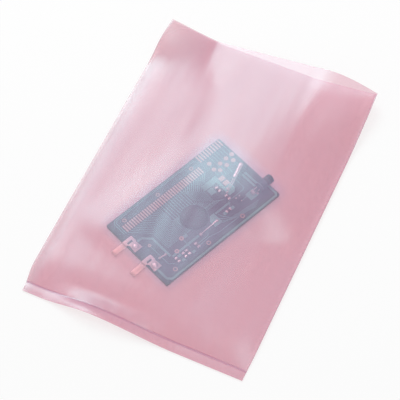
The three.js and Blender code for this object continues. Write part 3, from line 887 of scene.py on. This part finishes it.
# Each hole's x, y and the radius of its ring
HOLES = [
    (-25.0, -16.1, 1.0), (-6.1, -16.2, 1.0), (13.5, -16.25, 1.0),
    (-25.25, 16.1, 0.9), (-6.25, 16.0, 0.9), (13.25, 16.1, 0.9),
]


def hole_rings():
    """Bare rings round the small drilled holes"""
    rings = []
    for x, y, radius in HOLES:
        deselect_all()
        bpy.ops.mesh.primitive_torus_add(
            location=on_board(x, y, 0.0), major_segments=28, minor_segments=8,
            major_radius=radius * 0.8 * MM, minor_radius=radius * 0.22 * MM,
        )
        ring = bpy.context.view_layer.objects.active
        edit(ring)
        bpy.ops.mesh.select_all(action="SELECT")
        bpy.ops.transform.resize(value=(1, 1, 0.2), center_override=ring.location)
        leave_edit()
        rings.append(ring)
    deselect_all()
    for ring in rings:
        ring.select_set(True)
    bpy.context.view_layer.objects.active = rings[0]
    bpy.ops.object.join()
    joined = bpy.context.view_layer.objects.active
    joined.name = "board_hole_rings"
    settle(joined)
    smooth(joined, 60)
    return joined


class BAG_OT_board(Operator):
    """Finish the circuit board: solder mask, bare copper, runs, areas and rings"""

    bl_idname = "bag.board"
    bl_label = "Circuit board"

    def execute(self, context):
        look = context.scene.board_look
        dress(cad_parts["circuit_board"], board_material(look))
        run_finish = finish("copper runs under mask", look.runs, 0.4, 0.0, 1200, 0.3, 0.01)
        ring_finish = finish("ring copper", shades(look.copper, 0.7), 0.45, 0.4, 2000, 0.3, 0.01)
        for piece in (
            runs_piece("board_runs_thin", 0.26, thin_routes()),
            runs_piece("board_runs_wide", 1.05, WIDE_ROUTES),
            plates_piece("board_copper_areas", PLATES),
        ):
            dress(piece, run_finish)
            enlist(piece, "laminate")
        rings = hole_rings()
        dress(rings, ring_finish)
        enlist(rings, "laminate")
        return {"FINISHED"}


# Parts on the board


def turned_piece(name, profile, sides, start, direction=(0, 0, 1)):
    """A round piece made by extruding and scaling a disc along its axis. profile is (radius, height) in millimetres."""
    deselect_all()
    (first_radius, first_height), rest = profile[0], profile[1:]
    axis = Vector(direction).normalized()
    bpy.ops.mesh.primitive_circle_add(
        vertices=sides, radius=first_radius * MM, fill_type="NGON", location=(0, 0, first_height * MM)
    )
    piece = bpy.context.view_layer.objects.active
    piece.name = name
    edit(piece)
    bpy.ops.mesh.select_all(action="SELECT")
    radius, height = first_radius, first_height
    for next_radius, next_height in rest:
        rise = (next_height - height) * MM
        bpy.ops.mesh.extrude_region_move(TRANSFORM_OT_translate={"value": (0, 0, rise)})
        ratio = next_radius / radius
        centre = (0, 0, next_height * MM)
        bpy.ops.transform.resize(value=(ratio, ratio, 1), center_override=centre)
        radius, height = next_radius, next_height
    bpy.ops.mesh.select_all(action="SELECT")
    bpy.ops.mesh.normals_make_consistent(inside=False)
    leave_edit()
    settle(piece)
    piece.matrix_world = Matrix.Translation(start) @ axis.to_track_quat("Z", "Y").to_matrix().to_4x4()
    settle(piece)
    smooth(piece, 32)
    return piece


def board_direction(degrees):
    turn = math.radians(BOARD_TURN + degrees)
    return (math.cos(turn), math.sin(turn), 0)


def refined_copy(node, width, degrees=35):
    """A copy of a CAD node with its edges softened"""
    deselect_all()
    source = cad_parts[node]
    mesh = source.data.copy()
    piece = bpy.data.objects.new(f"{node}_fine", mesh)
    bpy.context.collection.objects.link(piece)
    edit(piece, "VERT")
    bpy.ops.mesh.select_all(action="SELECT")
    bpy.ops.mesh.remove_doubles(threshold=0.002 * MM)
    bpy.ops.mesh.dissolve_limited(angle_limit=math.radians(1))
    leave_edit()
    bevel = piece.modifiers.new("soft edges", "BEVEL")
    bevel.width = width * MM
    bevel.segments = 2
    bevel.limit_method = "ANGLE"
    bevel.angle_limit = math.radians(degrees)
    bpy.ops.object.modifier_apply(modifier=bevel.name)
    smooth(piece, 40)
    return piece


class BAG_OT_chip_blob(Operator):
    """Make the drop of black epoxy over the chip"""

    bl_idname = "bag.chip_blob"
    bl_label = "Epoxy drop"

    def execute(self, context):
        steps = [math.radians(90) * i / 12 for i in range(12)]
        profile = [(BLOB["radius"] * math.cos(a) ** 0.8, BLOB["height"] * math.sin(a)) for a in steps]
        profile.append((0.25, BLOB["height"]))
        piece = turned_piece("chip_blob_fine", profile, 64, on_board(BLOB["x"], BLOB["y"]))
        edit(piece, "VERT")
        bpy.ops.mesh.select_all(action="SELECT")
        bpy.ops.transform.vertex_random(offset=0.05 * MM, uniform=0.0, normal=0.0, seed=4)
        bpy.ops.mesh.vertices_smooth(factor=0.5, repeat=2)
        leave_edit()
        smooth(piece, 60)
        dress(piece, finish("black epoxy", context.scene.board_look.epoxy, 0.42, 0.0, 700, 0.35, 0.04))
        enlist(piece, "epoxy", "chip_blob")
        return {"FINISHED"}


class BAG_OT_crystal(Operator):
    """Make the crystal's drawn can, with its rim at the lead end"""

    bl_idname = "bag.crystal"
    bl_label = "Crystal can"

    def execute(self, context):
        profile = [
            (0.85, 0.22), (0.88, 0.0), (1.06, 0.0), (1.1, 0.05), (1.1, 0.42), (1.05, 0.47), (1.05, 7.6),
            (1.0, 7.85), (0.86, 8.03), (0.6, 8.1),
        ]
        start = on_board(*CRYSTAL_START)
        piece = turned_piece("crystal_can_fine", profile, 40, start, board_direction(CRYSTAL_TURN))
        dress(piece, finish("plated can", (0.72, 0.70, 0.67), 0.25, 1.0, 2500, 0.3, 0.01))
        enlist(piece, "can_metal", "crystal_can")
        return {"FINISHED"}


class BAG_OT_capacitor(Operator):
    """Make the sleeved capacitor: rolled groove, shrunk sleeve, bare end disc"""

    bl_idname = "bag.capacitor"
    bl_label = "Capacitor"

    def execute(self, context):
        look = context.scene.board_look
        profile = [
            (1.45, 0.14), (1.5, 0.0), (1.82, 0.0), (2.02, 0.1), (2.1, 0.3), (2.1, 0.85), (2.02, 1.0), (1.84, 1.1),
            (1.8, 1.22), (1.84, 1.34), (2.02, 1.46), (2.1, 1.62), (2.1, 6.7), (2.06, 7.05), (1.92, 7.35),
            (1.66, 7.54), (1.4, 7.58), (1.36, 7.5), (0.4, 7.5),
        ]
        start = on_board(*CAPACITOR_START)
        piece = turned_piece("capacitor_body_fine", profile, 48, start, board_direction(0))

        def stripes(tree, base):
            x, _, _ = board_point(tree)
            bands = [(28.05, 0.16, (0.20, 0.34, 0.36, 1)), (31.5, 0.38, (0.004, 0.012, 0.018, 1)),
                     (33.1, 0.30, (0.004, 0.012, 0.018, 1))]
            colour = base
            for centre, half, paint in bands:
                away = math_node(tree, "ABSOLUTE", math_node(tree, "SUBTRACT", x, centre))
                colour = blend_colour(tree, span(tree, away, half, half + 0.12, 1, 0), colour, paint)
            return blend_colour(tree, span(tree, x, 34.76, 34.8), colour, (0.4, 0.42, 0.42, 1))

        dress(piece, finish("shrunk sleeve", look.sleeve, 0.3, 0.0, 900, 0.2, 0.02, stripes))
        enlist(piece, "sleeve", "capacitor_body")
        return {"FINISHED"}


class BAG_OT_small_parts(Operator):
    """Soften and finish the clips, leads, links, solder, chips and transistor"""

    bl_idname = "bag.small_parts"
    bl_label = "Small parts"

    def execute(self, context):
        look = context.scene.board_look
        clip = finish("plated spring sheet", (0.86, 0.80, 0.77), 0.4, 0.35, 1800, 0.35, 0.01)
        tinned = finish("tinned wire", (0.74, 0.71, 0.68), 0.3, 1.0, 2500, 0.4, 0.02)
        solder = finish("solder", (0.70, 0.68, 0.66), 0.36, 1.0, 1600, 0.5, 0.04)
        ceramic = finish("chip ceramic", look.ceramic, 0.5, 0.0, 2500, 0.4, 0.01)
        moulding = finish("moulded package", (0.015, 0.014, 0.018), 0.5, 0.0, 3000, 0.4, 0.015)
        plan = [
            ("clip_metal", clip, 0.07, ["battery_clip_1", "battery_clip_2"]),
            ("solder", solder, 0.05, ["clip_solder_1", "clip_solder_2"]),
            ("tinned_wire", tinned, 0.04, [
                "crystal_lead_1", "crystal_lead_2", "capacitor_lead_1", "capacitor_lead_2",
                "jumper_wire_long", "jumper_wire_short",
                "transistor_pin_1", "transistor_pin_2", "transistor_pin_3",
            ]),
            ("moulding", moulding, 0.12, ["transistor_body"]),
        ]
        for slot, material, width, nodes in plan:
            for node in nodes:
                piece = refined_copy(node, width)
                dress(piece, material)
                enlist(piece, slot, node)
        for number in range(1, 8):
            node = f"chip_part_{number}"
            piece = refined_copy(node, 0.05)
            dress(piece, ceramic, tinned)
            low, high = (Vector(corner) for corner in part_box(node))
            middle = (low + high) / 2
            for face in piece.data.polygons:
                away = (face.center - middle).to_2d().length
                face.material_index = 1 if away > 0.62 * MM and self.is_end(face, middle) else 0
            enlist(piece, "chip_ceramic", node)
        return {"FINISHED"}

    @staticmethod
    def is_end(face, middle):
        """True where the face belongs to a metal end, which stands out past the body"""
        top = face.center.z > (DECK_Z + 0.57) * MM
        far = (face.center - middle).to_2d().length > 0.98 * MM
        return top or far


# Stage


def lamp(name, size, power, place):
    """A soft box that looks at the middle of the bag"""
    light = bpy.data.lights.new(name, "AREA")
    light.shape = "RECTANGLE"
    light.size, light.size_y = size
    light.energy = power
    made = bpy.data.objects.new(name, light)
    made.location = place
    made.rotation_mode = "QUATERNION"
    made.rotation_quaternion = Vector(place).to_track_quat("Z", "Y")
    bpy.context.collection.objects.link(made)
    return made


def seen_directly(tree):
    """1 for a ray from the camera, a mirror or glass"""
    path = add(tree, "ShaderNodeLightPath")
    first = math_node(tree, "MAXIMUM", path.outputs["Is Camera Ray"], path.outputs["Is Glossy Ray"])
    return math_node(tree, "MAXIMUM", first, path.outputs["Is Transmission Ray"])


def ground_material(look):
    material = bpy.data.materials.new("pale ground")
    material.use_nodes = True
    tree = material.node_tree
    shader = tree.nodes["Principled BSDF"]
    output = tree.nodes["Material Output"]
    shader.inputs["Base Color"].default_value = rgba(look.ground)
    shader.inputs["Roughness"].default_value = 0.9
    shader.inputs["Specular IOR Level"].default_value = 0.0
    glow = add(tree, "ShaderNodeEmission")
    glow.inputs["Color"].default_value = (1, 1, 1, 1)
    mixed = add(tree, "ShaderNodeMixShader")
    tree.links.new(math_node(tree, "MULTIPLY", seen_directly(tree), GROUND["white_share"]), mixed.inputs[0])
    tree.links.new(shader.outputs[0], mixed.inputs[1])
    tree.links.new(glow.outputs[0], mixed.inputs[2])
    tree.links.new(mixed.outputs[0], output.inputs["Surface"])
    return material


class BAG_OT_stage(Operator):
    """Make the ground, the soft lamps, the world's light and the camera"""

    bl_idname = "bag.stage"
    bl_label = "Stage"

    def execute(self, context):
        look = context.scene.stage_look
        scene = context.scene
        deselect_all()
        bpy.ops.mesh.primitive_plane_add(size=GROUND["size"], location=(0, 0, GROUND["z"]))
        ground = context.view_layer.objects.active
        ground.name = "ground"
        settle(ground)
        dress(ground, ground_material(look))

        side = Vector(SIDE_LAMP["direction"]) * SIDE_LAMP["distance"]
        lamp("side_soft_box", SIDE_LAMP["size"], look.side_lamp, side)
        lamp("top_lamp", TOP_LAMP["size"], look.top_lamp, TOP_LAMP["place"])

        world = bpy.data.worlds.new("studio")
        scene.world = world
        world.use_nodes = True
        tree = world.node_tree
        background = tree.nodes["Background"]
        background.inputs["Color"].default_value = (1, 1, 1, 1)
        tree.links.new(
            math_node(tree, "MAXIMUM", seen_directly(tree), look.ambient), background.inputs["Strength"]
        )

        camera = bpy.data.objects.new("camera", bpy.data.cameras.new("camera"))
        context.collection.objects.link(camera)
        camera.data.sensor_width = CAMERA["sensor"]
        camera.data.lens = CAMERA["lens"]
        elevation, azimuth = math.radians(CAMERA["elevation"]), math.radians(CAMERA["turn"])
        back = Vector((
            math.sin(azimuth) * math.cos(elevation), -math.cos(azimuth) * math.cos(elevation), math.sin(elevation)
        ))
        camera.location = Vector((0, CAMERA["aim_y"], 0)) + back * CAMERA["distance"]
        camera.rotation_mode = "QUATERNION"
        camera.rotation_quaternion = back.to_track_quat("Z", "Y")
        camera.data.clip_start, camera.data.clip_end = 0.01, 50
        scene.camera = camera
        scene.view_settings.view_transform = "Standard"
        return {"FINISHED"}


# Panel and registration


STEPS = ("bag.stage", "bag.film", "bag.board", "bag.chip_blob", "bag.crystal", "bag.capacitor", "bag.small_parts")


class BAG_PT_pieces(Panel):
    """The bag's pieces"""

    bl_label = "Anti-static bag"
    bl_idname = "BAG_PT_pieces"
    bl_space_type = "VIEW_3D"
    bl_region_type = "UI"
    bl_category = "Bag"

    def draw(self, context):
        layout = self.layout
        for step in STEPS:
            layout.operator(step)
        for group in ("bag_look", "board_look", "stage_look"):
            box = layout.box()
            for key in getattr(context.scene, group).__annotations__:
                box.prop(getattr(context.scene, group), key)


CLASSES = (
    BagLook, BoardLook, StageLook, BAG_OT_film, BAG_OT_board, BAG_OT_chip_blob, BAG_OT_crystal,
    BAG_OT_capacitor, BAG_OT_small_parts, BAG_OT_stage, BAG_PT_pieces,
)


def register():
    for cls in CLASSES:
        bpy.utils.register_class(cls)
    bpy.types.Scene.bag_look = PointerProperty(type=BagLook)
    bpy.types.Scene.board_look = PointerProperty(type=BoardLook)
    bpy.types.Scene.stage_look = PointerProperty(type=StageLook)


def unregister():
    for name in ("bag_look", "board_look", "stage_look"):
        delattr(bpy.types.Scene, name)
    for cls in reversed(CLASSES):
        bpy.utils.unregister_class(cls)


def main():
    register()
    for step in STEPS:
        group, name = step.split(".")
        getattr(getattr(bpy.ops, group), name)()
    deselect_all()


if __name__ == "__main__":
    main()
